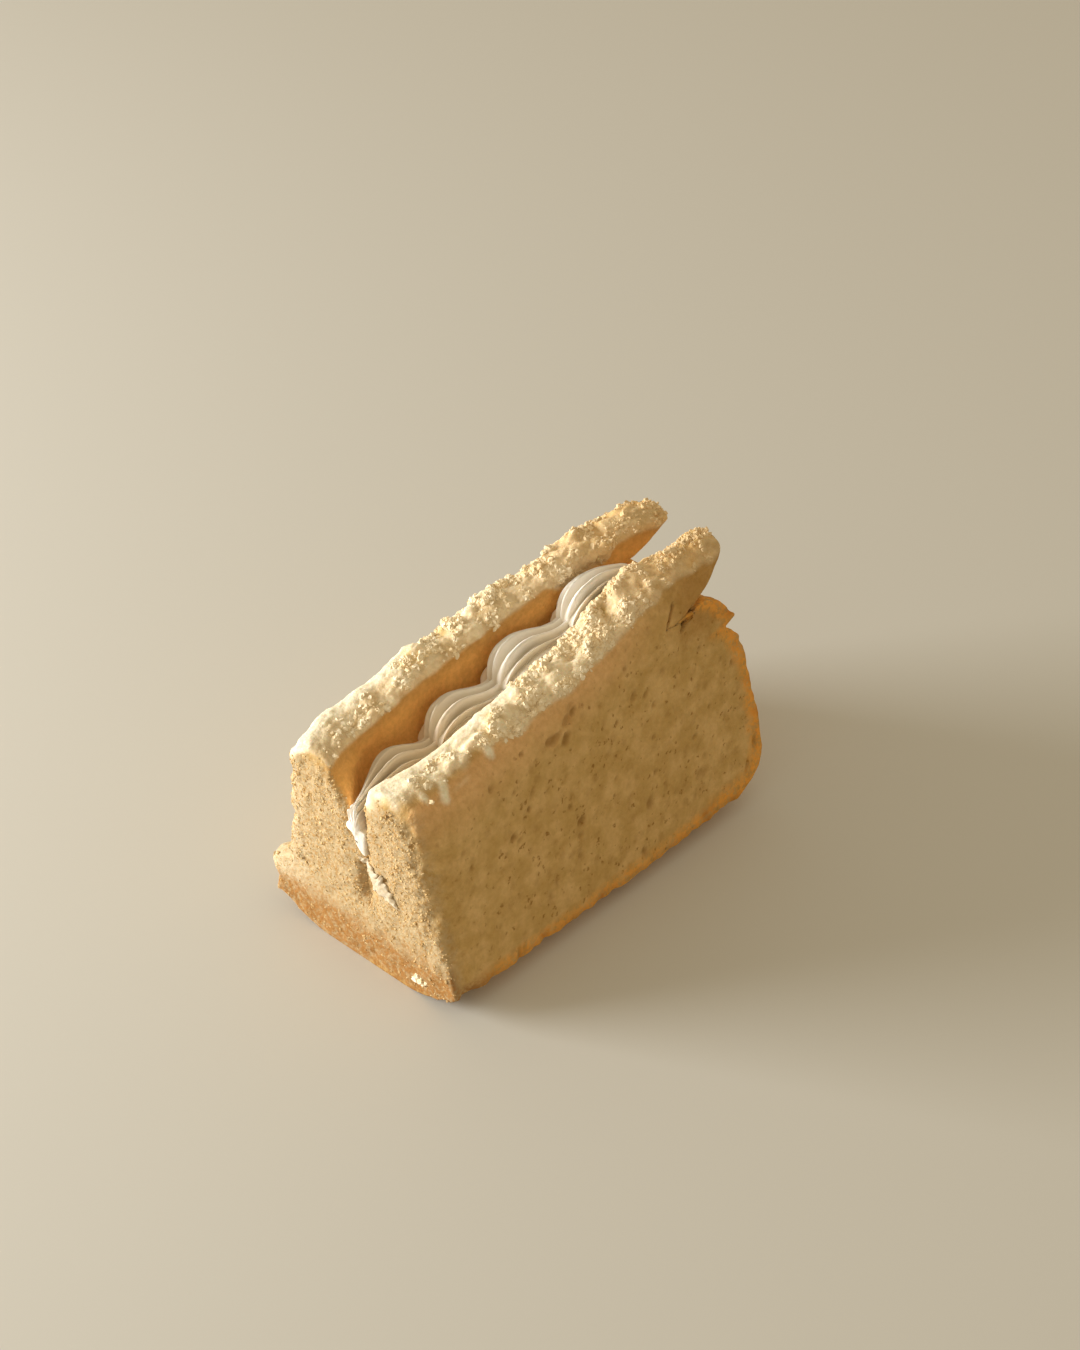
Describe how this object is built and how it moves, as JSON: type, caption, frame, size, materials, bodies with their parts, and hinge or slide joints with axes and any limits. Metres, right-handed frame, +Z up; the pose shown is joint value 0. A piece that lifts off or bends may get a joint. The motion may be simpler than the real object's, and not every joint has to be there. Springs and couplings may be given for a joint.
{
  "type": "chiffon cake slice",
  "caption": "Slice of tube-pan chiffon cake lying on its crust, slit along the torn top and filled with a piped row of ridged whipped cream shells.",
  "frame": {"origin": "on the surface it lies on, under the middle of the whole slice's box", "axes": "+X along the slit from the pale pan-bottom end to the baked end, the near cut face looks to -Y, +Z up"},
  "size_m": [0.1078, 0.0644, 0.0696],
  "materials": {
    "sponge": "matte open crumb, browned at the crust",
    "whipped_cream": "soft satin, faintly moist"
  },
  "bodies": {
    "root": {"cake": "sponge", "cream": "whipped_cream"}
  },
  "joints": []
}
